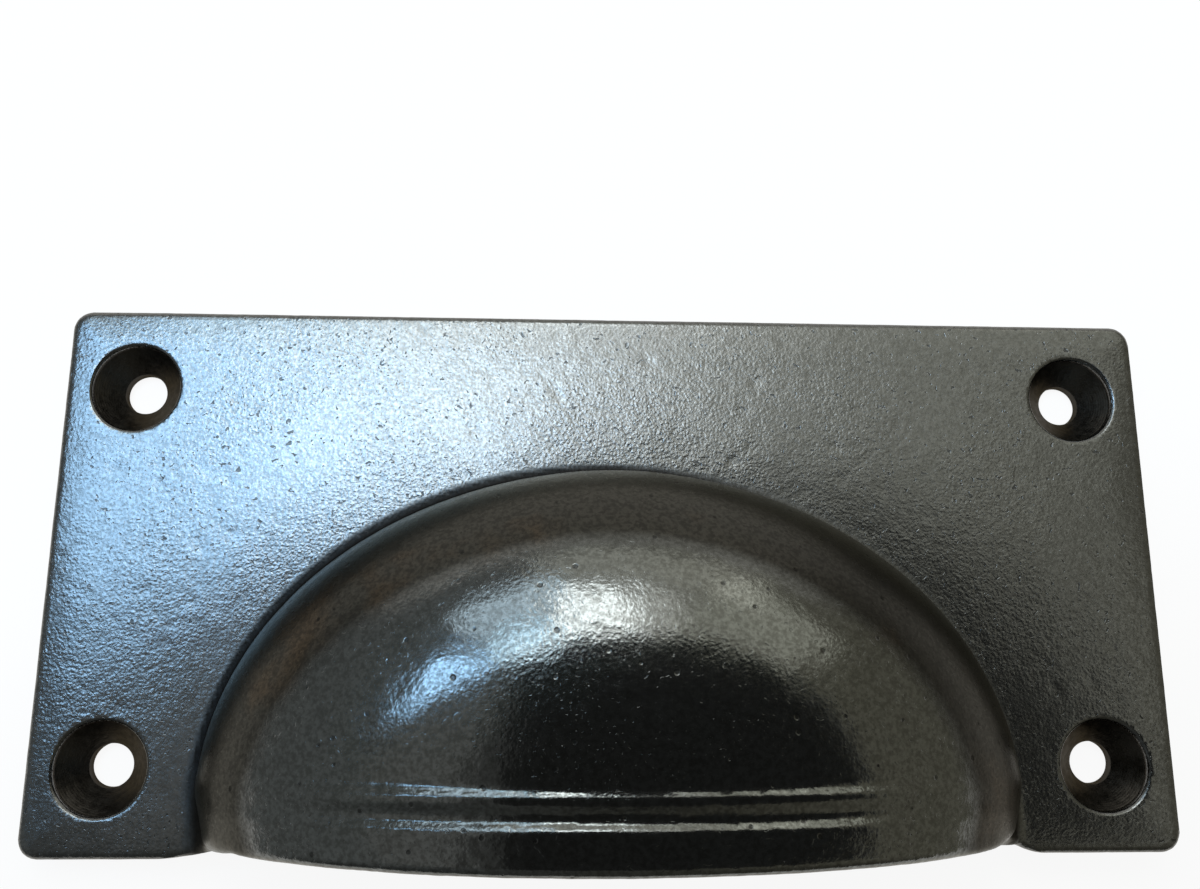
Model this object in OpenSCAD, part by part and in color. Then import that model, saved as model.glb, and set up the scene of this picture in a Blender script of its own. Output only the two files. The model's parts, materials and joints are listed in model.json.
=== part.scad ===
// Cast-iron cup pull: a screw-on plate and a hollow hood, poured as one piece.
// It lies on its back. The origin is the middle of the plate's back face,
// +X runs along the plate, +Y to its upper edge and +Z out of its front.

/* [Hood] */
// Width of the hood across its foot
hood_w = 73; // [56:0.5:90]
// Height of the domed part, from the collar to the top of the hood
dome_rise = 29.2; // [22:0.2:40]
// Height of the straight collar, from the mouth to the dome
collar_h = 4.4; // [3:0.1:9]
// How far the hood stands out from the face of the plate
hood_out = 19.2; // [14:0.2:26]
// Thickness of the hood's wall
hood_wall = 2.8; // [2:0.1:4]
// Fullness of the dome's crown, from a plain ellipse at 2 to a flatter top
crown_power = 2.5; // [2:0.05:3]

/* [Mouth] */
// Height of the mouth above the plate's lower edge
mouth_rise = 0.8; // [0.4:0.1:3]
// How far the mouth leans back at the crest of the hood
mouth_lean = 1.6; // [0:0.1:3]
// Width of the bead along the lip
bead_w = 4.5; // [3:0.1:6]
// Width of the reed above the bead
reed_w = 3.1; // [2:0.1:5]
// How far the bead and the reed stand proud of the hood
reed_proud = 0.55; // [0.2:0.05:1]
// Rounding of the lip's outer edge
lip_r = 1.4; // [0.6:0.1:2]

/* [Plate] */
// Thickness of the plate
plate_t = 3.5; // [2.8:0.1:6]
// Flat on each side of the hood
flat_side = 14.5; // [12:0.5:24]
// Flat above the hood
flat_top = 14.6; // [12:0.2:26]
// Radius of the plate's corners
corner_r = 1.8; // [1:0.1:4]
// Bevel along the plate's front edges
edge_bevel = 0.45; // [0.2:0.05:0.8]
// Run of the slope from the plate's lower edge up to each end of the mouth
step_run = 1.2; // [0.6:0.1:2.5]

/* [Screw holes] */
// Distance of the holes from the plate's side edges
hole_inset_x = 6.5; // [5:0.1:9]
// Distance of the holes from the plate's upper and lower edges
hole_inset_y = 7.5; // [5:0.1:10]
// Diameter of the screw holes
hole_d = 3.8; // [3:0.1:4.6]
// Diameter of the countersinks at the face
sink_d = 8.2; // [6.5:0.1:9.4]
// Straight part at the top of each countersink
sink_mouth = 0.4; // [0.1:0.1:0.8]
// Full angle of the countersinks' cones
sink_angle = 90; // [80:1:110]

/* [Hidden] */

plate_w = hood_w + 2*flat_side;
plate_h = mouth_rise + collar_h + dome_rise + flat_top;
lower_edge = -plate_h/2;
mouth_y = lower_edge + mouth_rise;
half_w = hood_w/2;
moulding_w = bead_w + reed_w;
cut_over = 2;            // how far a cut runs past the face it opens
foot_sink = plate_t/2;   // depth of the hood's foot inside the plate
arc_steps = 44;          // facets across the hood
lip_steps = 4;
reed_steps = 6;
dome_steps = 18;
top_angle = 86;          // last arch of the dome before it closes in a point
moulding_foot = 8;       // the moulding dies out between these two angles of the arch
moulding_full = 34;
fine = 64;

function smooth_step(low, high, v) =
    let (t = min(1, max(0, (v - low)/(high - low)))) t*t*(3 - 2*t);

// Half width and height of the arch at a distance s above the mouth, for a form
// that lies the given wall inside the hood's outer face
function arch_half(s, wall) = let (u = (s - collar_h)/(dome_rise - wall))
    (half_w - wall)*(u <= 0 ? 1 : sqrt(1 - u*u));
function arch_out(s, wall) = let (u = (s - collar_h)/(dome_rise - wall))
    (hood_out - wall)*(u <= 0 ? 1 : pow(1 - pow(u, crown_power), 1/crown_power));

// How far the bead and the reed stand proud at a distance s above the mouth
function lip_round(s) = lip_r - sqrt(max(0, lip_r*lip_r - pow(lip_r - s, 2)));
function proud(s) =
    s < lip_r ? reed_proud - lip_round(s) :
    s < bead_w ? reed_proud*cos(90*(s - lip_r)/(bead_w - lip_r)) :
    s < moulding_w ? reed_proud*sin(180*(s - bead_w)/reed_w) : 0;

// How far the arch at a distance s above the mouth leans back at its crest
function lean_at(s) = mouth_lean*max(0, 1 - s/moulding_w);

// One point of an arch, at angle a from its left foot, moved out along the arch's normal
function arch_point(s, a, wall, swell, lean) =
    let (w = arch_half(s, wall), h = arch_out(s, wall),
         n = [-cos(a)/w, sin(a)/h], grow = swell*smooth_step(moulding_foot, moulding_full, 90 - abs(90 - a)),
         x = -w*cos(a) + grow*n[0]/norm(n), z = h*sin(a) + grow*n[1]/norm(n))
    [x, mouth_y + s + lean*z/hood_out, plate_t + z];

// An arch with its two feet, which go down to the height foot_z
function arch_row(s, wall, swell, lean, foot_z) = let (w = arch_half(s, wall)) concat(
    [[-w, mouth_y + s, foot_z]],
    [for (k = [0:arc_steps]) arch_point(s, 180*k/arc_steps, wall, swell, lean)],
    [[w, mouth_y + s, foot_z]]);

// Distances above the mouth of the arches of the dome, closing towards its top
function dome_rows(start, wall) = let (rise = dome_rise - wall, first = asin((start - collar_h)/rise))
    [for (k = [1:dome_steps]) collar_h + rise*sin(first + (top_angle - first)*k/dome_steps)];

// Closes a row of arches into a solid: a flat face at the mouth, and a point at the far end
module arch_solid(rows, tip) {
    n = len(rows[0]);
    last = len(rows) - 1;
    middle = (n - 1)/2;
    mouth = [for (k = [0:middle - 1]) each concat([[k + 1, n - 1 - k, k]],
        k == middle - 1 ? [] : [[n - 2 - k, n - 1 - k, k + 1]])];
    sides = [for (i = [0:last - 1]) for (k = [0:n - 1])
        let (a = i*n + k, b = i*n + (k + 1) % n) each [[a + n, b, a], [a + n, b + n, b]]];
    point = [for (k = [0:n - 1]) [n*(last + 1), last*n + (k + 1) % n, last*n + k]];
    polyhedron(points = concat([for (row = rows) each row], [tip]), faces = concat(mouth, sides, point));
}

module hood_outside() {
    lip = [for (k = [0:lip_steps]) lip_r*(1 - cos(90*k/lip_steps))];
    bead = [for (k = [1:reed_steps]) lip_r + (bead_w - lip_r)*k/reed_steps];
    reed = [for (k = [1:reed_steps]) bead_w + reed_w*k/reed_steps];
    rises = concat(lip, bead, reed, dome_rows(moulding_w, 0));
    arch_solid([for (s = rises) arch_row(s, 0, proud(s), lean_at(s), plate_t - foot_sink)],
               [0, mouth_y + collar_h + dome_rise, plate_t]);
}

module hood_hollow() {
    rises = concat([-mouth_rise - cut_over], dome_rows(0, hood_wall));
    arch_solid([for (s = rises) arch_row(s, hood_wall, 0, 0, -cut_over)],
               [0, mouth_y + collar_h + dome_rise - hood_wall, plate_t]);
}

module plate_blank() {
    difference() {
        linear_extrude(plate_t) {
            square([plate_w - 2*corner_r, plate_h], center = true);
            square([plate_w, plate_h - 2*corner_r], center = true);
            for (x = [-1, 1], y = [-1, 1])
                translate([x*(plate_w/2 - corner_r), y*(plate_h/2 - corner_r)])
                    circle(corner_r, $fn = fine);
        }
        for (side = [-1, 1]) {
            translate([0, side*plate_h/2, plate_t]) front_bevel(plate_w);
            translate([side*plate_w/2, 0, plate_t]) rotate(90) front_bevel(plate_h);
        }
    }
}

module front_bevel(length) {
    rotate([45, 0, 0])
        cube([length + 2*cut_over, edge_bevel*sqrt(2), edge_bevel*sqrt(2)], center = true);
}

// Clears the plate below the mouth, with a sloped step at each end
module mouth_step() {
    translate([0, mouth_y, -cut_over]) linear_extrude(plate_t + 2*cut_over)
        polygon([[-half_w, 0], [half_w, 0],
                 [half_w + step_run, -mouth_rise], [half_w + step_run, -mouth_rise - cut_over],
                 [-half_w - step_run, -mouth_rise - cut_over], [-half_w - step_run, -mouth_rise]]);
}

module screw_hole() {
    cone_h = (sink_d - hole_d)/2/tan(sink_angle/2);
    translate([0, 0, -cut_over]) cylinder(d = hole_d, h = plate_t + 2*cut_over, $fn = fine);
    translate([0, 0, plate_t - sink_mouth]) cylinder(d = sink_d, h = sink_mouth + cut_over, $fn = fine);
    translate([0, 0, plate_t - sink_mouth - cone_h])
        cylinder(d1 = hole_d, d2 = sink_d, h = cone_h, $fn = fine);
}

module cup_pull() {
    color("#3b3a37") difference() {
        union() {
            plate_blank();
            hood_outside();
        }
        hood_hollow();
        mouth_step();
        for (x = [-1, 1], y = [-1, 1])
            translate([x*(plate_w/2 - hole_inset_x), y*(plate_h/2 - hole_inset_y), 0])
                screw_hole();
    }
}

cup_pull();
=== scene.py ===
import json
import math
import bpy
import numpy as np
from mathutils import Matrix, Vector, noise


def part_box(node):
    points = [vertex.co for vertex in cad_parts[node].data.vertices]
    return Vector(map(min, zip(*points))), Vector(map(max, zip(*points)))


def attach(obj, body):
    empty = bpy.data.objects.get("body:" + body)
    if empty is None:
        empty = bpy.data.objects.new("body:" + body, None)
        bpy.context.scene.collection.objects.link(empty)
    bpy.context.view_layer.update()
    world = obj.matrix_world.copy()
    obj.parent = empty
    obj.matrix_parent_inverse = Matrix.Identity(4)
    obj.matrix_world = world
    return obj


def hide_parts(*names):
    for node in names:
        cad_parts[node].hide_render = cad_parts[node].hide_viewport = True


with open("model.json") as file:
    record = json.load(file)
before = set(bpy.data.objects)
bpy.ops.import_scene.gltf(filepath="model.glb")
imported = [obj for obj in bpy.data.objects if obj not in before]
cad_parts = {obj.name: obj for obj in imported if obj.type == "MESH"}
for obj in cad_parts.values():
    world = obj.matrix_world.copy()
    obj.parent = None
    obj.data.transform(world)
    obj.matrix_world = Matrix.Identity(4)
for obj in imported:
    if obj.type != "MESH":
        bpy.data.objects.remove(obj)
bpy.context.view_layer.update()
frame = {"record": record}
mm = 0.001
print("frame loaded")


# Small helpers

def smoothStep(low, high, value):
    t = np.clip((value - low)/(high - low), 0, 1)
    return t*t*(3 - 2*t)


def softRamp(low, high, value, ease=0.22):
    # a straight rise, eased for a share of its run at both ends
    t = np.clip((value - low)/(high - low), 0, 1)
    s = np.minimum(t, 1 - t)
    half = np.where(s < ease, s*s/(2*ease), s - ease/2)/(1 - ease)
    return np.where(t < 0.5, half, 1 - half)


def roundMax(a, b, radius):
    # what two forms share, with the edge between them rounded over
    corner = np.hypot(np.maximum(a + radius, 0), np.maximum(b + radius, 0))
    return np.minimum(np.maximum(a, b), -radius) + corner


def roundMin(a, b, radius):
    # two forms joined, with a fillet between them
    return -roundMax(-a, -b, radius)


# The casting, as signed distances in millimetres: below zero is metal

castLow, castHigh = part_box("cup_pull")
holes = next(m for m in frame["record"]["mounts"] if m["name"] == "screw_holes")["dims"]

casting = {
    "plateWide": (castHigh.x - castLow.x)/mm,
    "plateTall": (castHigh.y - castLow.y)/mm,
    "plateThick": 3.5,
    "cornerRadius": 1.8,
    "edgeRound": 0.6,        # worn front edges of the plate
    "rollWide": 4.2,         # the face falls away softly towards the plate's edges
    "rollDeep": 0.18,
    "rollLeft": 0.15,        # more of it at the left end
    "rollLeftAt": (-50, -40),    # all of that before the first, none after the second
    "hoodWide": 71.6,        # inside the fillet
    "hoodOut": 19.34,
    "domeRise": 28.5,
    "footSink": 0.6,         # the arch springs from below the plate's face, so its foot leans in
    "mouthTaper": 1.0,       # it draws in a little at the mouth
    "taperReach": 6,
    "collar": 4.4,
    "crown": 2.5,            # 2 is a plain ellipse, more is a fuller crown
    "wall": 2.8,
    "mouthRise": 0.8,
    "mouthLean": 1.6,
    "leanReach": 5.0,        # most of the lean lies this close to the plate
    "beadTop": 3.75,         # top of the bead, above the mouth
    "beadFoot": 4.75,
    "beadProud": 0.41,
    "reedTop": 6.62,         # the reed falls slowly to the groove and quickly to the dome
    "reedFoot": 7.4,
    "reedProud": 0.29,
    "leastFull": 0.92,       # both are cut unevenly, so their slopes are longer over part of the run
    "beadMore": (0.32, -4, 9),       # how much longer, at which X, and how far along
    "reedMore": (0.38, -15.5, 6.5),
    "mouldingFade": (8, 75),         # degrees round the hood over which they die out towards the feet
    "lipRound": 0.8,
    "endRound": 1.7,         # the ends of the lip are worn rounder
    "endReach": (5, 11),     # heights over the plate between those two
    "edgeReach": (0.3, 3),   # and between the plate's edge and the lip's end
    "innerRound": 0.6,
    "stepFoot": (34.4, 35.9),    # left and right ends of the mouth, cast unevenly
    "stepRun": (2.7, 1.4),
    "fillet": 0.6,           # where the hood meets the plate
    "filletMouth": 2.2,      # it widens towards the mouth
    "filletReach": 7,
    "cell": 0.36,            # mesh spacing
    "backShare": 0.72,       # faces kept on the back and in the hollow
}


def crownTable(power):
    # how the section through the crown departs from an ellipse, and its slope
    u = np.linspace(0, 0.985, 4001)
    full = (1 - u**2)/(1 - u**power)**(2/power)
    slope = np.gradient(full, u)
    slope[-1] = 0
    return u, full, slope


crownU, crownFull, crownSlope = crownTable(casting["crown"])


def domeForm(x, rise, out, wallIn):
    c = casting
    wide = c["hoodWide"]/2 - wallIn - c["mouthTaper"]*(1 - smoothStep(0, c["taperReach"], rise))
    tall = c["domeRise"] - wallIn
    high = c["hoodOut"] - wallIn + c["footSink"]
    u = np.maximum(rise - c["collar"], 0)/tall
    a = x/wide
    t = np.maximum(out + c["footSink"], 0)/high
    full = np.interp(u, crownU, crownFull)
    slope = np.interp(u, crownU, crownSlope)
    rho = np.sqrt(a*a + u*u + full*t*t)
    steep = np.sqrt((2*a/wide)**2 + ((2*u + slope*t*t)/tall)**2 + (2*full*t/high)**2)
    return (rho - 1)*2*rho/np.maximum(steep, 0.02)


def mouldingSwell(rise, x, out):
    c = casting

    def fullness(more, at, along):
        return c["leastFull"] + more*np.exp(-((x - at)/along)**2)

    beadFull = fullness(*c["beadMore"])
    reedFull = fullness(*c["reedMore"])
    beadFoot = c["beadTop"] + (c["beadFoot"] - c["beadTop"])*beadFull
    reedFoot = c["reedTop"] + (c["reedFoot"] - c["reedTop"])*reedFull
    bead = 1 - softRamp(c["beadTop"], beadFoot, rise)
    reed = smoothStep(c["beadFoot"], c["reedTop"], rise)*(1 - softRamp(c["reedTop"], reedFoot, rise))
    swell = c["beadProud"]*beadFull*bead + c["reedProud"]*reedFull*reed
    angle = np.degrees(np.arctan2(np.maximum(out, 0)/c["hoodOut"], np.abs(x)/(c["hoodWide"]/2)))
    return swell*smoothStep(*c["mouldingFade"], angle)


def castingForm(p):
    c = casting
    x, y, z = p[:, 0], p[:, 1], p[:, 2]
    lowerEdge = -c["plateTall"]/2
    mouthY = lowerEdge + c["mouthRise"]
    out = z - c["plateThick"]

    # plate with round corners and worn front edges
    qx = np.abs(x) - c["plateWide"]/2 + c["cornerRadius"]
    qy = np.abs(y) - c["plateTall"]/2 + c["cornerRadius"]
    beyond = np.hypot(np.maximum(qx, 0), np.maximum(qy, 0))
    plan = beyond + np.minimum(np.maximum(qx, qy), 0) - c["cornerRadius"]
    roll = c["rollDeep"] + c["rollLeft"]*(1 - smoothStep(*c["rollLeftAt"], x))
    roll = roll*np.clip(1 + plan/c["rollWide"], 0, 1.2)**2
    plate = roundMax(plan, out + roll, c["edgeRound"])

    # hood with its bead and reed, the mouth leaning back towards the crest
    top = c["reedFoot"]
    above = y - mouthY
    lean = c["mouthLean"]*(1 - np.exp(-np.maximum(out, 0)/c["leanReach"]))
    rise = np.where(above < top, (above - lean)/(1 - lean/top), above)
    hood = domeForm(x, rise, out, 0) - mouldingSwell(rise, x, out)
    fillet = c["filletMouth"] + (c["fillet"] - c["filletMouth"])*smoothStep(0, c["filletReach"], above)
    form = roundMin(plate, hood, fillet)

    # mouth, with a small sloped step at each end
    start = np.where(x < 0, *c["stepFoot"])
    run = np.where(x < 0, *c["stepRun"])
    step = ((np.abs(x) - start)*c["mouthRise"] + above*run)/np.hypot(c["mouthRise"], run)
    mouth = np.minimum(-rise, -step)
    rounding = c["endRound"] + (c["lipRound"] - c["endRound"])*smoothStep(*c["endReach"], out)
    rounding = c["edgeRound"] + (rounding - c["edgeRound"])*smoothStep(*c["edgeReach"], out)
    form = roundMax(form, mouth, rounding)

    # hollow and flat back
    hollow = domeForm(x, above, out, c["wall"])
    form = roundMax(form, -hollow, c["innerRound"])
    return np.maximum(form, -z)


def slopeOf(form, p, reach=0.03):
    g = np.empty_like(p)
    for axis in range(3):
        step = np.zeros(3)
        step[axis] = reach
        g[:, axis] = (form(p + step) - form(p - step))/(2*reach)
    return g


def contourForm(form, low, high, cell):
    # dual contouring: one point in each cell that the surface passes, set on its edges where it has any
    counts = [int(math.ceil((high[i] - low[i])/cell)) + 1 for i in range(3)]
    values = np.empty(counts)
    ys, zs = (low[i] + cell*np.arange(counts[i]) for i in (1, 2))
    yy, zz = (g.ravel() for g in np.meshgrid(ys, zs, indexing="ij"))
    for start in range(0, counts[0], 24):
        xs = low[0] + cell*np.arange(start, min(start + 24, counts[0]))
        block = np.stack([np.repeat(xs, yy.size), np.tile(yy, xs.size), np.tile(zz, xs.size)], 1)
        values[start:start + xs.size] = form(block).reshape(xs.size, counts[1], counts[2])
    inside = values < 0

    points, cells, loops = [], [], []
    for d in range(3):
        u, v = (d + 1) % 3, (d + 2) % 3
        near = [slice(None)]*3
        far = [slice(None)]*3
        near[d] = slice(0, -1)
        far[d] = slice(1, None)
        cross = np.argwhere(inside[tuple(near)] != inside[tuple(far)])
        a = values[tuple(near)][tuple(cross.T)]
        b = values[tuple(far)][tuple(cross.T)]
        at = cross.astype(float)
        at[:, d] += a/(a - b)
        points.append(np.asarray(low) + cell*at)
        ring = []
        for du, dv in ((1, 1), (0, 1), (0, 0), (1, 0)):
            corner = cross.copy()
            corner[:, u] -= du
            corner[:, v] -= dv
            ring.append(np.ravel_multi_index(tuple(corner.T), counts))
        ring = np.stack(ring, 1)
        cells.append(ring)
        loops.append(np.where((a < 0)[:, None], ring, ring[:, ::-1]))
    points, cells, loops = (np.concatenate(part) for part in (points, cells, loops))

    normals = slopeOf(form, points)
    normals /= np.linalg.norm(normals, axis=1, keepdims=True)
    used, place = np.unique(cells, return_inverse=True)
    place = place.reshape(cells.shape)
    total = len(used)

    def gather(amount):
        return sum(np.bincount(place[:, k], weights=amount, minlength=total) for k in range(4))

    share = gather(np.ones(len(points)))
    middle = np.stack([gather(points[:, i]) for i in range(3)], 1)/share[:, None]
    facing = np.stack([gather(normals[:, i]) for i in range(3)], 1)/share[:, None]
    reach = np.einsum("ij,ij->i", normals, points)
    square = np.empty((total, 3, 3))
    right = np.empty((total, 3))
    for i in range(3):
        right[:, i] = gather(normals[:, i]*reach)
        for j in range(3):
            square[:, i, j] = gather(normals[:, i]*normals[:, j])
    hold = 0.05              # keeps a point near the middle of its crossings
    square += hold*np.eye(3)
    verts = np.linalg.solve(square, (right + hold*middle)[:, :, None])[:, :, 0]
    corner = np.asarray(low) + cell*np.stack(np.unravel_index(used, counts), 1)
    verts = np.clip(verts, corner, corner + cell)
    quads = np.searchsorted(used, loops)
    evenFacing = 0.93        # below this the normals in a cell disagree, as on an edge
    sharp = np.linalg.norm(facing, axis=1) < evenFacing
    return verts, quads, sharp


def relaxVerts(form, verts, quads, sharp, passes=3, share=0.5, mostPull=0.1):
    # evens the spacing out along the surface, and leaves sharp edges alone
    heads = quads.ravel()
    tails = np.roll(quads, -1, axis=1).ravel()
    around = np.bincount(heads, minlength=len(verts)) + np.bincount(tails, minlength=len(verts))
    free = ~sharp
    for _ in range(passes):
        mean = np.empty_like(verts)
        for i in range(3):
            mean[:, i] = np.bincount(heads, weights=verts[tails, i], minlength=len(verts))
            mean[:, i] += np.bincount(tails, weights=verts[heads, i], minlength=len(verts))
        mean /= around[:, None]
        verts[free] += share*(mean - verts)[free]
        for _ in range(2):
            p = verts[free]
            g = slopeOf(form, p)
            pull = form(p)/np.maximum(np.einsum("ij,ij->i", g, g), 0.2)
            verts[free] = p - np.clip(pull, -mostPull, mostPull)[:, None]*g
    return verts


def bakeModifiers(piece):
    graph = bpy.context.evaluated_depsgraph_get()
    baked = bpy.data.meshes.new_from_object(piece.evaluated_get(graph))
    plain = piece.data
    piece.modifiers.clear()
    piece.data = baked
    bpy.data.meshes.remove(plain)
    baked.name = piece.name


margin = 1.0
gridLow = [v/mm - margin for v in castLow]
gridHigh = [v/mm + margin for v in castHigh]
verts, quads, sharp = contourForm(castingForm, gridLow, gridHigh, casting["cell"])
verts = relaxVerts(castingForm, verts, quads, sharp)
print("casting contoured:", len(verts), "points,", len(quads), "faces")

castMesh = bpy.data.meshes.new("pullCasting")
castMesh.from_pydata((verts*mm).tolist(), [], quads.tolist())
castMesh.update()
pullCasting = bpy.data.objects.new("pullCasting", castMesh)
bpy.context.scene.collection.objects.link(pullCasting)
finishes = [bpy.data.materials.new(name) for name in ("waxedIron", "drilledIron")]
for material in finishes:
    castMesh.materials.append(material)


# Screw holes, turned cutters taken out of the casting

sink = {
    "spacing": (holes["spacing_x_mm"], holes["spacing_y_mm"]),
    "bore": holes["hole_r_mm"],
    "radius": 4.0,
    "rimRound": 0.42,
    "mouthDeep": 0.62,       # rim and straight wall, down to the cone
    "turns": 96,
}


def sinkProfile():
    # radius and height of the cutter, from above the plate to below its back
    s = sink
    face = casting["plateThick"]
    q = s["rimRound"]
    line = []
    start = math.radians(118)
    first = (s["radius"] + q + q*math.cos(start), face - q + q*math.sin(start))
    line.append((first[0] + 0.5*math.sin(start), first[1] - 0.5*math.cos(start)))
    for k in range(5):
        turn = start + (math.pi - start)*k/4
        line.append((s["radius"] + q + q*math.cos(turn), face - q + q*math.sin(turn)))
    seat = face - s["mouthDeep"]
    line.append((s["radius"] - 0.01, seat + 0.07))
    line.append((s["radius"] - 0.07, seat - 0.05))
    foot = seat - 0.05 - (s["radius"] - 0.07 - s["bore"])
    line.append((s["bore"] + 0.08, foot + 0.08))
    line.append((s["bore"], foot - 0.08))
    line.append((s["bore"], -1.0))
    return line


drilledSlot = 1      # material index of the cut faces, below the rim
rimRings = 5


def turnedCutter(name, line, centres, turns):
    points, faces = [], []
    for cx, cy in centres:
        base = len(points)
        for r, z in line:
            for k in range(turns):
                a = 2*math.pi*k/turns
                points.append(((cx + r*math.cos(a))*mm, (cy + r*math.sin(a))*mm, z*mm))
        for i in range(len(line) - 1):
            for k in range(turns):
                a = base + i*turns + k
                b = base + i*turns + (k + 1) % turns
                faces.append((b, a, a + turns, b + turns))
        last = base + (len(line) - 1)*turns
        faces.append(tuple(base + k for k in range(turns)))
        faces.append(tuple(last + k for k in reversed(range(turns))))
    mesh = bpy.data.meshes.new(name)
    mesh.from_pydata(points, [], faces)
    mesh.update()
    for material in finishes:
        mesh.materials.append(material)
    perHole = (len(line) - 1)*turns + 2
    for face in mesh.polygons:
        face.material_index = drilledSlot if face.index % perHole >= rimRings*turns else 0
    cutter = bpy.data.objects.new(name, mesh)
    bpy.context.scene.collection.objects.link(cutter)
    return cutter


centres = [(i*sink["spacing"][0]/2, j*sink["spacing"][1]/2) for i in (-1, 1) for j in (-1, 1)]
cutter = turnedCutter("sinkCutter", sinkProfile(), centres, sink["turns"])
cut = pullCasting.modifiers.new("screwHoles", "BOOLEAN")
cut.operation = "DIFFERENCE"
cut.solver = "EXACT"
cut.object = cutter

# the back and the hollow need fewer faces than the front
back = pullCasting.vertex_groups.new(name="back")
mouthY = -casting["plateTall"]/2 + casting["mouthRise"]
hollowAt = domeForm(verts[:, 0], verts[:, 1] - mouthY, verts[:, 2] - casting["plateThick"], casting["wall"])
plain = (verts[:, 2] < 0.1) | (np.abs(hollowAt) < 0.12)
back.add(np.flatnonzero(plain).tolist(), 1.0, "REPLACE")
thin = pullCasting.modifiers.new("fewerFaces", "DECIMATE")
thin.vertex_group = "back"
thin.ratio = casting["backShare"]
bakeModifiers(pullCasting)
bpy.data.objects.remove(cutter)
castMesh = pullCasting.data
print("screw holes cut:", len(castMesh.polygons), "faces")


# Relief of the sand mould, moved into the mesh

relief = {
    "plateSwell": 0.012,     # soft waves, millimetres
    "plateGrain": 0.010,
    "hoodSwell": 0.024,
    "hoodGrain": 0.007,
    "lipGrain": 0.009,       # more of it on the bead and reed
    "lipTop": (7.8, 9.5),    # heights above the mouth where that ends
    "hoodLump": 0.5,         # stronger swell low on the left of the hood, as a share
    "lumpAt": (-17, 12),     # X, and height above the mouth
    "lumpWide": (8, 5),
    "dent": 0.018,           # shallow gas pits
    "hoodDent": 0.4,         # share of them that is left on the hood
    "swellScale": 0.22,      # waves to the millimetre
    "grainScale": 0.9,
    "dentScale": 0.75,
    "dentLevel": 0.42,
    "seed": 7.0,
    "sharpAngle": 38,
}
# painted shade along the crease round the hood, and the painted brown reflection on the hood's steep flank
paintedLight = {
    "leftSide": (-14, 8),    # X between the left of the crease, where the painted shade is stronger, and the rest
    "flareHigh": 9,          # height above the mouth below which the painted shade spreads out
    "creaseWide": (0.6, 1.2),    # millimetres from the hood where the painted shade starts to fade, and ends
    "creaseLeft": 0.2,       # more on the left
    "creaseFlare": 1.3,      # and where it spreads
    "creaseRight": (22, 0.5),    # X where the right side is reached, and what it lacks there
    "climb": (0.4, 1.0, 0.9),    # up the hood: everywhere, more on the left, and the run of the fade
    "flareLack": 0.25,       # it is thinner where it spreads
    "flankLean": (-0.035, -0.035, 1.0),  # the way that the flank is measured from
    "flankSteep": (0.79, 0.85),  # painted brown reflection below the first, the brighter plain iron above the second
    "flankUnder": (0.1, 0.5),    # the same for faces that look sideways or down
    "flankFoot": (-0.05, 0.4),   # heights over the plate's face where the painted brown reflection begins
}


def plainDome(p):
    return domeForm(p[:, 0], p[:, 1] - mouthY, p[:, 2] - casting["plateThick"], 0)


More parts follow.
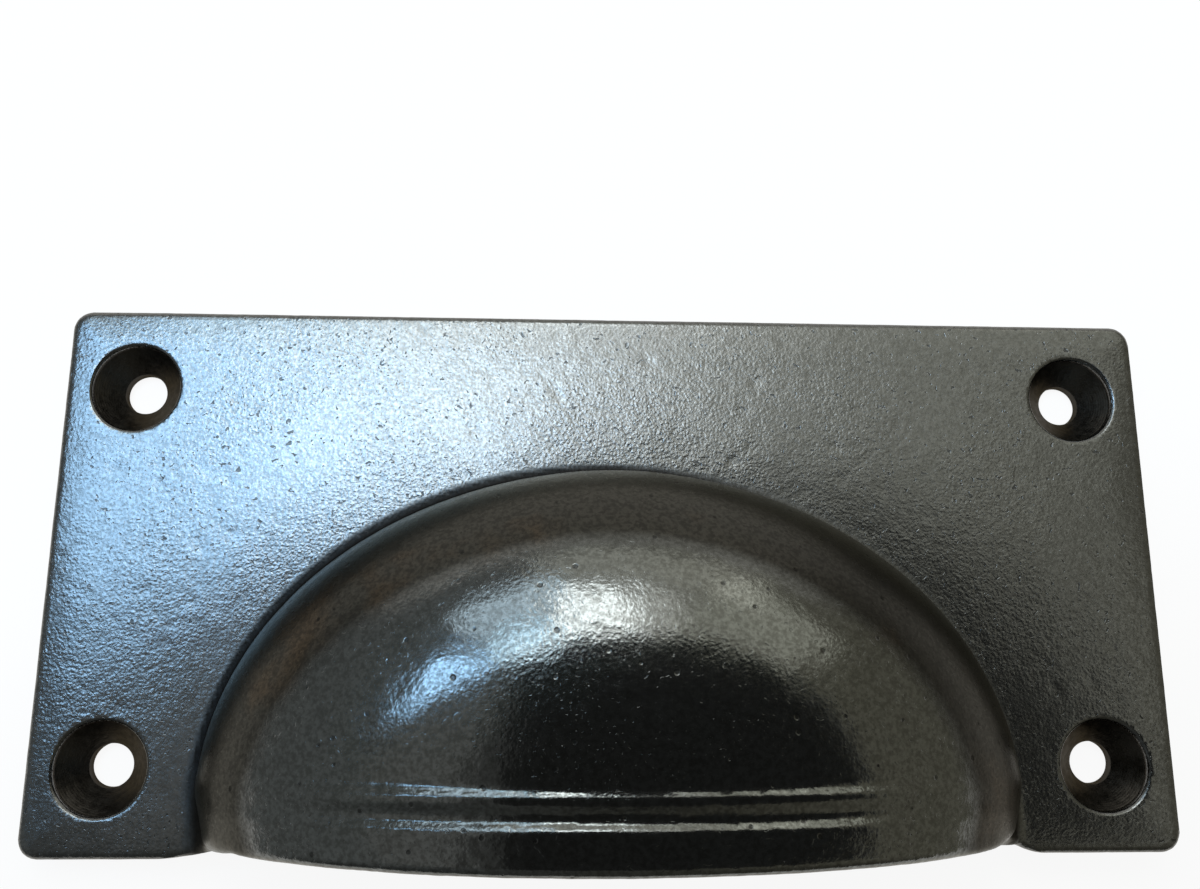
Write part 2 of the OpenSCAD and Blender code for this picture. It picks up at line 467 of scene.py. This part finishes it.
def addRelief(mesh):
    r = relief
    count = len(mesh.vertices)
    flat = np.empty(count*3)
    mesh.vertices.foreach_get("co", flat)
    p = flat.reshape(-1, 3)/mm
    mesh.vertex_normals.foreach_get("vector", flat)
    n = flat.reshape(-1, 3).copy()
    out = p[:, 2] - casting["plateThick"]
    onHood = smoothStep(0.2, 1.6, out)
    hx = np.abs(p[:, 0]) - sink["spacing"][0]/2
    hy = np.abs(p[:, 1]) - sink["spacing"][1]/2
    nearHole = 1 - smoothStep(sink["radius"] + 0.1, sink["radius"] + 0.9, np.hypot(hx, hy))
    onBack = p[:, 2] < 0.05
    above = p[:, 1] - mouthY
    onLip = onHood*(1 - smoothStep(*r["lipTop"], above))
    lumpX = (p[:, 0] - r["lumpAt"][0])/r["lumpWide"][0]
    lumpY = (above - r["lumpAt"][1])/r["lumpWide"][1]
    lump = 1 + r["hoodLump"]*np.exp(-lumpX**2 - lumpY**2)
    move = np.zeros(count)
    for i in np.flatnonzero(~onBack):
        at = Vector(p[i]) + Vector((r["seed"], 2*r["seed"], 3*r["seed"]))
        swell = noise.fractal(at*r["swellScale"], 1.0, 2.0, 3)
        grain = noise.fractal(at*r["grainScale"], 0.6, 2.1, 2)
        dent = max(0.0, noise.noise(at*r["dentScale"]) - r["dentLevel"])
        h = onHood[i]
        move[i] = (r["plateSwell"]*(1 - h) + r["hoodSwell"]*lump[i]*h)*swell
        move[i] += (r["plateGrain"]*(1 - h) + r["hoodGrain"]*h + r["lipGrain"]*onLip[i])*grain
        move[i] -= r["dent"]*(1 - (1 - r["hoodDent"])*h)*dent/0.2
    move *= 1 - nearHole
    p = p + n*move[:, None]
    p[onBack, 2] = 0
    mesh.vertices.foreach_set("co", (p*mm).ravel())
    mesh.update()

    # how close each point lies to the crease round the hood, for the painted shade there
    w = paintedLight
    hood = domeForm(p[:, 0], p[:, 1] - mouthY, out, 0)
    left = 1 - smoothStep(*w["leftSide"], p[:, 0])
    flare = (1 - smoothStep(0, w["flareHigh"], p[:, 1] - mouthY))*left
    fadeFrom, fadeTo = (v + w["creaseLeft"]*left for v in w["creaseWide"])
    creaseShade = smoothStep(-0.2, 0.1, hood)*(1 - smoothStep(fadeFrom, fadeTo + w["creaseFlare"]*flare, hood))
    rightAt, rightLack = w["creaseRight"]
    creaseShade *= 1 - rightLack*smoothStep(0, rightAt, p[:, 0])
    lowClimb, leftClimb, climbRun = w["climb"]
    climb = lowClimb + leftClimb*left
    creaseShade *= (1 - w["flareLack"]*flare)*(1 - smoothStep(climb, climb + climbRun, np.abs(out)))

    # and how steep the plain dome is there, or whether the face looks down, for the painted brown
    # reflection on its flank
    slope = slopeOf(plainDome, p)
    lean = slope @ np.array(w["flankLean"])/np.linalg.norm(slope, axis=1)
    flankReflection = 1 - smoothStep(*w["flankSteep"], lean)
    flankReflection = np.maximum(flankReflection, 1 - smoothStep(*w["flankUnder"], n[:, 2]))*smoothStep(*w["flankFoot"], out)
    for name, amount in (("creaseShade", creaseShade), ("flankReflection", flankReflection)):
        mark = mesh.attributes.new(name, "FLOAT", "POINT")
        mark.data.foreach_set("value", amount)


addRelief(castMesh)
castMesh.shade_smooth()
castMesh.set_sharp_from_angle(angle=math.radians(relief["sharpAngle"]))
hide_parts("cup_pull")
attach(pullCasting, "root")
print("relief added:", sum(len(f.vertices) - 2 for f in castMesh.polygons), "triangles")


# Finish: blackened iron under wax

def addNode(tree, kind, **values):
    node = tree.nodes.new(kind)
    for name, value in values.items():
        setattr(node, name, value)
    return node


def mapRange(tree, value, low, high, toLow=0.0, toHigh=1.0, smooth=True):
    node = addNode(tree, "ShaderNodeMapRange")
    node.interpolation_type = "SMOOTHSTEP" if smooth else "LINEAR"
    for name, amount in (("From Min", low), ("From Max", high), ("To Min", toLow), ("To Max", toHigh)):
        node.inputs[name].default_value = amount
    tree.links.new(value, node.inputs["Value"])
    return node.outputs["Result"]


def maths(tree, operation, a, b):
    node = addNode(tree, "ShaderNodeMath", operation=operation)
    for socket, value in zip(node.inputs, (a, b)):
        if isinstance(value, (int, float)):
            socket.default_value = value
        else:
            tree.links.new(value, socket)
    return node.outputs[0]


def mixColor(tree, share, a, b):
    node = addNode(tree, "ShaderNodeMix", data_type="RGBA")
    for socket, value in ((node.inputs[0], share), (node.inputs[6], a), (node.inputs[7], b)):
        if isinstance(value, (int, float, tuple)):
            socket.default_value = value
        else:
            tree.links.new(value, socket)
    return node.outputs[2]


def makeSandGrain():
    # height of the moulding sand's grain, and masks of its pits and pinholes, from a place in millimetres
    group = bpy.data.node_groups.new("sandGrain", "ShaderNodeTree")
    face = group.interface
    face.new_socket("Place", in_out="INPUT", socket_type="NodeSocketVector")
    starts = {"Grain Scale": 1.6, "Pit Scale": 1.2, "Pit Level": 0.66, "Pinhole Size": 0.2}
    for name, start in starts.items():
        face.new_socket(name, in_out="INPUT", socket_type="NodeSocketFloat").default_value = start
    for name in ("Height", "Mottle", "Pits", "Pinholes", "Cloud"):
        face.new_socket(name, in_out="OUTPUT", socket_type="NodeSocketFloat")
    given = addNode(group, "NodeGroupInput")
    out = addNode(group, "NodeGroupOutput")
    link = group.links.new

    # round grains of sand, over a finer noise
    sand = addNode(group, "ShaderNodeTexVoronoi")
    link(given.outputs["Place"], sand.inputs["Vector"])
    link(given.outputs["Grain Scale"], sand.inputs["Scale"])
    dust = addNode(group, "ShaderNodeTexNoise")
    dust.inputs["Detail"].default_value = 2.0
    dust.inputs["Roughness"].default_value = 0.6
    link(given.outputs["Place"], dust.inputs["Vector"])
    link(given.outputs["Grain Scale"], dust.inputs["Scale"])
    grains = maths(group, "MULTIPLY", sand.outputs["Distance"], 0.8)
    height = maths(group, "SUBTRACT", dust.outputs["Fac"], grains)

    # ragged pits
    pit = addNode(group, "ShaderNodeTexNoise")
    pit.inputs["Detail"].default_value = 1.5
    pit.inputs["Distortion"].default_value = 0.5
    link(given.outputs["Place"], pit.inputs["Vector"])
    link(given.outputs["Pit Scale"], pit.inputs["Scale"])
    over = maths(group, "SUBTRACT", pit.outputs["Fac"], given.outputs["Pit Level"])
    pits = mapRange(group, over, 0.0, 0.06)

    # round pinholes, in about one cell of four
    hole = addNode(group, "ShaderNodeTexVoronoi")
    hole.inputs["Scale"].default_value = 0.8
    link(given.outputs["Place"], hole.inputs["Vector"])
    chance = addNode(group, "ShaderNodeSeparateColor")
    link(hole.outputs["Color"], chance.inputs[0])
    chosen = mapRange(group, chance.outputs[0], 0.6, 0.9)
    wide = maths(group, "MULTIPLY", chosen, given.outputs["Pinhole Size"])
    edge = maths(group, "DIVIDE", hole.outputs["Distance"], maths(group, "ADD", wide, 0.001))
    pinholes = mapRange(group, edge, 0.5, 1.0, 1.0, 0.0)

    # broad patches
    cloud = addNode(group, "ShaderNodeTexNoise")
    cloud.inputs["Scale"].default_value = 0.09
    cloud.inputs["Detail"].default_value = 4.0
    link(given.outputs["Place"], cloud.inputs["Vector"])
    link(height, out.inputs["Height"])
    link(dust.outputs["Fac"], out.inputs["Mottle"])
    link(pits, out.inputs["Pits"])
    link(pinholes, out.inputs["Pinholes"])
    link(cloud.outputs["Fac"], out.inputs["Cloud"])
    return group


sandGrain = makeSandGrain()

finish = {
    "plateIron": (0.168, 0.167, 0.161, 1),   # rubbed bright under the wax
    "hoodIron": (0.182, 0.184, 0.175, 1),
    "dullAndMirroredBrown": (0.050, 0.047, 0.039, 1),       # for random dull patches, and the painted brown reflection on the steep flank of the hood
    "rust": (0.068, 0.048, 0.030, 1),
    "grazing": (0.80, 0.78, 0.73, 1),        # wax takes the white off it at a glancing angle
    # dirt in the pits and on the flank, and painted shade in the crease and on the right of the flank
    "dirtAndShade": (0.012, 0.011, 0.010, 1),
    "plateRough": 0.23,
    "hoodRough": 0.15,
    "flankRough": 0.16,      # added on the flank
    "dirtAndShadeRough": 0.25,       # and in dirt and in the painted shade of the crease
    "plateBump": 0.016,      # millimetres
    "hoodBump": 0.007,
    "pitDeep": 0.018,
    "coarseGrain": {"Grain Scale": 1.9, "Pit Scale": 1.9, "Pit Level": 0.67, "Pinhole Size": 0.22},
    "fineGrain": {"Grain Scale": 3.4, "Pit Scale": 4.0, "Pit Level": 0.66},
    "hoodPits": 0.35,        # share of the ragged pits on the hood
    "rustShare": 0.8,
    "flankDirt": 0.5,
    "rightShadeShare": 0.6,        # painted shade: the right flank is darker
    "plateDull": 0.4,
    "hoodDull": 0.5,
    "pitDirt": 0.6,
}


def placeInMm(tree):
    where = addNode(tree, "ShaderNodeTexCoord")
    scale = addNode(tree, "ShaderNodeVectorMath", operation="SCALE")
    scale.inputs["Scale"].default_value = 1/mm
    tree.links.new(where.outputs["Object"], scale.inputs[0])
    return scale.outputs[0]


def addGrain(tree, place, values):
    node = addNode(tree, "ShaderNodeGroup", node_tree=sandGrain)
    tree.links.new(place, node.inputs["Place"])
    for name, value in values.items():
        node.inputs[name].default_value = value
    return node.outputs


def makeWaxedIron(material):
    f = finish
    material.use_nodes = True
    tree = material.node_tree
    link = tree.links.new
    shader = tree.nodes["Principled BSDF"]
    place = placeInMm(tree)
    split = addNode(tree, "ShaderNodeSeparateXYZ")
    link(place, split.inputs[0])
    onHood = mapRange(tree, split.outputs["Z"], 3.7, 5.2)

    coarse = addGrain(tree, place, f["coarseGrain"])
    fine = addGrain(tree, place, f["fineGrain"])
    patch = mapRange(tree, coarse["Cloud"], 0.4, 0.62)
    ragged = maths(tree, "MAXIMUM", coarse["Pits"], maths(tree, "MULTIPLY", fine["Pits"], patch))
    ragged = maths(tree, "MULTIPLY", ragged, mapRange(tree, onHood, 0.0, 1.0, 1.0, f["hoodPits"]))
    pits = maths(tree, "MAXIMUM", ragged, maths(tree, "MULTIPLY", coarse["Pinholes"], onHood))

    # painted brown reflection on the steep flank of the hood, with rust and grime in it; painted shade on
    # its right and in the crease round the hood, with dirt in the pits
    flankReflection = addNode(tree, "ShaderNodeAttribute", attribute_name="flankReflection").outputs["Fac"]
    mottle = maths(tree, "MULTIPLY", maths(tree, "ADD", coarse["Mottle"], fine["Mottle"]), 0.5)
    rusty = mapRange(tree, fine["Cloud"], 0.48, 0.62, 0.0, f["rustShare"])
    flankRustAndPaintedLight = mixColor(tree, rusty, f["dullAndMirroredBrown"], f["rust"])
    grimy = mapRange(tree, mottle, 0.58, 0.40, 0.0, f["flankDirt"])
    flankRustAndPaintedLight = mixColor(tree, grimy, flankRustAndPaintedLight, f["dirtAndShade"])
    # painted shade, darker towards the right of the flank
    rightFlankShade = mapRange(tree, split.outputs["X"], 4, 24, 0.0, f["rightShadeShare"])
    flankRustAndPaintedLight = mixColor(tree, rightFlankShade, flankRustAndPaintedLight, f["dirtAndShade"])
    # painted shade along the crease round the hood, joined with the dirt in the pits
    creaseShade = addNode(tree, "ShaderNodeAttribute", attribute_name="creaseShade")
    dirtAndShade = maths(tree, "MAXIMUM", maths(tree, "MULTIPLY", pits, f["pitDirt"]), creaseShade.outputs["Fac"])
    color = mixColor(tree, onHood, f["plateIron"], f["hoodIron"])
    mostDull = mapRange(tree, onHood, 0.0, 1.0, f["plateDull"], f["hoodDull"])
    dull = maths(tree, "MULTIPLY", mapRange(tree, mottle, 0.62, 0.38), mostDull)
    color = mixColor(tree, dull, color, f["dullAndMirroredBrown"])
    color = mixColor(tree, flankReflection, color, flankRustAndPaintedLight)
    color = mixColor(tree, dirtAndShade, color, f["dirtAndShade"])
    link(color, shader.inputs["Base Color"])
    shader.inputs["Metallic"].default_value = 1.0
    shader.inputs["Specular Tint"].default_value = f["grazing"]

    rough = mapRange(tree, onHood, 0.0, 1.0, f["plateRough"], f["hoodRough"], smooth=False)
    vary = mapRange(tree, fine["Mottle"], 0.3, 0.7, 0.06, -0.05, smooth=False)
    rough = maths(tree, "ADD", rough, vary)
    rough = maths(tree, "ADD", rough, maths(tree, "MULTIPLY", dirtAndShade, f["dirtAndShadeRough"]))
    rough = maths(tree, "ADD", rough, maths(tree, "MULTIPLY", flankReflection, f["flankRough"]))
    link(rough, shader.inputs["Roughness"])

    # the grain stands stronger in some patches
    grain = maths(tree, "ADD", maths(tree, "MULTIPLY", coarse["Mottle"], 1.3), fine["Height"])
    depth = mapRange(tree, onHood, 0.0, 1.0, f["plateBump"], f["hoodBump"], smooth=False)
    depth = maths(tree, "MULTIPLY", depth, mapRange(tree, coarse["Cloud"], 0.35, 0.65, 0.7, 1.35))
    height = maths(tree, "MULTIPLY", grain, depth)
    height = maths(tree, "SUBTRACT", height, maths(tree, "MULTIPLY", pits, f["pitDeep"]))
    bump = addNode(tree, "ShaderNodeBump")
    bump.inputs["Distance"].default_value = mm
    link(height, bump.inputs["Height"])
    link(bump.outputs["Normal"], shader.inputs["Normal"])


drilled = {
    "iron": (0.078, 0.070, 0.059, 1),
    # painted shade towards the foot of the bore
    "dirtAndShade": (0.012, 0.011, 0.010, 1),
    "grazing": (0.45, 0.43, 0.40, 1),
    "rough": 0.34,
    "turnPitch": 0.16,       # millimetres of depth from one tool mark to the next
    "turnDeep": 0.0012,
    "grainDeep": 0.02,
    "grain": {"Grain Scale": 1.8},
    "footShadeShare": 0.5,        # painted shade at the foot of the bore
}


def makeDrilledIron(material):
    d = drilled
    material.use_nodes = True
    tree = material.node_tree
    link = tree.links.new
    shader = tree.nodes["Principled BSDF"]
    place = placeInMm(tree)
    split = addNode(tree, "ShaderNodeSeparateXYZ")
    link(place, split.inputs[0])
    grain = addGrain(tree, place, d["grain"])
    # painted shade, darker towards the foot of the bore
    deep = mapRange(tree, split.outputs["Z"], casting["plateThick"] - 0.1, 0.0)
    dirtAndShade = maths(tree, "MULTIPLY", deep, d["footShadeShare"])
    link(mixColor(tree, dirtAndShade, d["iron"], d["dirtAndShade"]), shader.inputs["Base Color"])
    shader.inputs["Metallic"].default_value = 1.0
    shader.inputs["Specular Tint"].default_value = d["grazing"]
    rough = mapRange(tree, grain["Mottle"], 0.3, 0.7, d["rough"] - 0.06, d["rough"] + 0.08, smooth=False)
    link(rough, shader.inputs["Roughness"])
    turns = maths(tree, "SINE", maths(tree, "MULTIPLY", split.outputs["Z"], 2*math.pi/d["turnPitch"]), 0.0)
    height = maths(tree, "ADD", maths(tree, "MULTIPLY", turns, d["turnDeep"]),
                   maths(tree, "MULTIPLY", grain["Height"], d["grainDeep"]))
    bump = addNode(tree, "ShaderNodeBump")
    bump.inputs["Distance"].default_value = mm
    link(height, bump.inputs["Height"])
    link(bump.outputs["Normal"], shader.inputs["Normal"])


makeWaxedIron(finishes[0])
makeDrilledIron(finishes[1])
print("finish made")


# Floor, light and camera

stage = {
    "floorSize": 4.0,
    "floorDrop": 0.0002,     # under the back, so that the two don't share a plane
    "floorColor": (0.90, 0.88, 0.85, 1),
    "backdrop": 0.91,        # share of the floor that is plain white to the camera
    "leftRoom": (0.26, 0.285, 0.29, 1),
    "rightRoom": (0.29, 0.285, 0.23, 1),
    "overhead": 0.5,         # share of the room's light that is left straight overhead
    "nearSide": 0.4,         # and at the side of the mouth
    "sweep": (0.95, 0.95, 0.92, 1),      # pale backdrop behind the pull, low down
}
softboxes = {
    # degrees from straight overhead, to +X and to +Y, spread in degrees across and along the line to
    # overhead, and brightness against white paper
    "skyBox": {"tilt": (-22.8, 10.2), "spread": (20, 39), "level": 8.0, "color": (0.36, 0.64, 1.0)},
    "hazeBox": {"tilt": (-28, 43), "spread": (22, 13), "level": 2.6, "color": (0.62, 0.82, 1.0)},
    "joinBox": {"tilt": (-20, 28.5), "spread": (13, 11), "level": 5.6, "color": (0.52, 0.78, 1.0)},
    "windowBox": {"tilt": (-7.5, 15.5), "spread": (18, 25), "level": 6.1, "color": (0.84, 0.94, 1.0)},
    "glareBox": {"tilt": (-3.5, 37), "spread": (16, 18), "level": 6.5, "color": (0.88, 0.96, 1.0)},
    "edgeBox": {"tilt": (8, 25.5), "spread": (12, 41), "level": 1.4, "color": (0.97, 1.0, 0.97)},
    "warmBox": {"tilt": (29, 28), "spread": (26, 48), "level": 0.74, "color": (0.96, 1.0, 0.90)},
    "lowBox": {"tilt": (29, -8), "spread": (26, 24), "level": 0.52, "color": (0.97, 1.0, 0.90)},
    "wallBox": {"tilt": (15, 56), "spread": (50, 16), "level": 0.75, "color": (0.98, 1.0, 0.92)},
}
boxAway = 0.85       # metres
cardColor = (0.95, 1.0, 1.0, 1)
# cards over the pull, seen only in its gloss: outline and height in millimetres, and their own brightness
cards = {
    "darkCard": {
        "outline": [
            (-27, -46), (-25.5, -19), (-24, -9), (-23, 1.5), (-21.5, 14), (-11.5, 21), (1, 23), (15, 21),
            (32, 20), (49, 16.5), (59, 5), (69, -5), (78, -19), (84, -46),
        ],
        "height": 70,
        "level": 0.04,
    },
    "dimCard": {
        "outline": [
            (-40, -46), (-37, -19), (-33, -9), (-29, 1.5), (-25, 11), (-21, 13), (0, 18), (49, 15), (63, 8),
            (74, -3), (85, -19), (92, -46),
        ],
        "height": 70.5,
        "level": 0.14,
    },
    "greyCard": {
        "outline": [
            (-78, -46), (-77, -16), (-69, -4), (-60, 3), (-51, 7), (-40, 10), (-30, 14.5), (-21.5, 16.5),
            (-24, -46),
        ],
        "height": 71,
        "level": 0.33,
    },
}

floorMesh = bpy.data.meshes.new("floor")
half = stage["floorSize"]/2
floorCorners = [(-half, -half, 0), (half, -half, 0), (half, half, 0), (-half, half, 0)]
floorMesh.from_pydata(floorCorners, [], [(0, 1, 2, 3)])
floor = bpy.data.objects.new("floor", floorMesh)
floor.location.z = -stage["floorDrop"]
bpy.context.scene.collection.objects.link(floor)

paper = bpy.data.materials.new("paper")
paper.use_nodes = True
tree = paper.node_tree
shader = tree.nodes["Principled BSDF"]
shader.inputs["Base Color"].default_value = stage["floorColor"]
shader.inputs["Roughness"].default_value = 0.8
shader.inputs["Specular IOR Level"].default_value = 0.1
glow = addNode(tree, "ShaderNodeEmission")
path = addNode(tree, "ShaderNodeLightPath")
seen = maths(tree, "MAXIMUM", path.outputs["Is Camera Ray"], path.outputs["Is Glossy Ray"])
seen = maths(tree, "MAXIMUM", seen, path.outputs["Is Transmission Ray"])
mix = addNode(tree, "ShaderNodeMixShader")
tree.links.new(maths(tree, "MULTIPLY", seen, stage["backdrop"]), mix.inputs[0])
tree.links.new(shader.outputs[0], mix.inputs[1])
tree.links.new(glow.outputs[0], mix.inputs[2])
tree.links.new(mix.outputs[0], tree.nodes["Material Output"].inputs["Surface"])
floorMesh.materials.append(paper)

world = bpy.data.worlds.new("studio")
bpy.context.scene.world = world
world.use_nodes = True
tree = world.node_tree
where = addNode(tree, "ShaderNodeTexCoord")
parts = addNode(tree, "ShaderNodeSeparateXYZ")
tree.links.new(where.outputs["Generated"], parts.inputs[0])
room = mixColor(tree, mapRange(tree, parts.outputs["X"], -0.6, 0.6), stage["leftRoom"], stage["rightRoom"])
behind = maths(tree, "MULTIPLY", mapRange(tree, parts.outputs["Z"], 0.40, 0.26),
               mapRange(tree, parts.outputs["Y"], 0.55, 0.8))
room = mixColor(tree, behind, room, stage["sweep"])
tree.links.new(room, tree.nodes["Background"].inputs["Color"])
above = mapRange(tree, parts.outputs["Z"], 0.6, 0.95, 1.0, stage["overhead"])
nearSide = mapRange(tree, parts.outputs["Y"], -0.3, -0.75, 1.0, stage["nearSide"])
strength = maths(tree, "MULTIPLY", above, nearSide)
tree.links.new(strength, tree.nodes["Background"].inputs["Strength"])

for name, box in softboxes.items():
    lamp = bpy.data.lights.new(name, "AREA")
    lamp.shape = "RECTANGLE"
    lamp.size, lamp.size_y = (2*boxAway*math.tan(math.radians(v/2)) for v in box["spread"])
    lamp.energy = box["level"]*math.pi*lamp.size*lamp.size_y
    lamp.color = box["color"]
    tiltX, tiltY = (math.tan(math.radians(v)) for v in box["tilt"])
    softbox = bpy.data.objects.new(name, lamp)
    softbox.location = Vector((tiltX, tiltY, 1)).normalized()*boxAway
    softbox.rotation_euler = (-softbox.location).to_track_quat("-Z", "Y").to_euler()
    softbox.visible_camera = False
    bpy.context.scene.collection.objects.link(softbox)

for name, sheet in cards.items():
    cardMesh = bpy.data.meshes.new(name)
    corners = [(x*mm, y*mm, 0) for x, y in sheet["outline"]]
    cardMesh.from_pydata(corners, [], [list(range(len(corners)))])
    card = bpy.data.objects.new(name, cardMesh)
    card.location.z = sheet["height"]*mm
    card.visible_camera = False
    card.visible_diffuse = False
    bpy.context.scene.collection.objects.link(card)
    cloth = bpy.data.materials.new(name)
    cloth.use_nodes = True
    shader = cloth.node_tree.nodes["Principled BSDF"]
    shader.inputs["Base Color"].default_value = (0, 0, 0, 1)
    shader.inputs["Roughness"].default_value = 1.0
    shader.inputs["Specular IOR Level"].default_value = 0.0
    shader.inputs["Emission Color"].default_value = cardColor
    shader.inputs["Emission Strength"].default_value = sheet["level"]
    cardMesh.materials.append(cloth)

camera = {
    "place": (-0.005304, -0.006484, 0.095476),
    "turn": (11.3766, -2.5689, 0.1192),
    "lens": 30.0,
}
lens = bpy.data.cameras.new("photoCamera")
lens.sensor_fit = "HORIZONTAL"
lens.sensor_width = 36.0
lens.lens = camera["lens"]
lens.clip_start = 0.002
photoCamera = bpy.data.objects.new("photoCamera", lens)
photoCamera.location = camera["place"]
photoCamera.rotation_euler = [math.radians(v) for v in camera["turn"]]
bpy.context.scene.collection.objects.link(photoCamera)
bpy.context.scene.camera = photoCamera
bpy.context.scene.view_settings.view_transform = "Standard"
print("stage set")
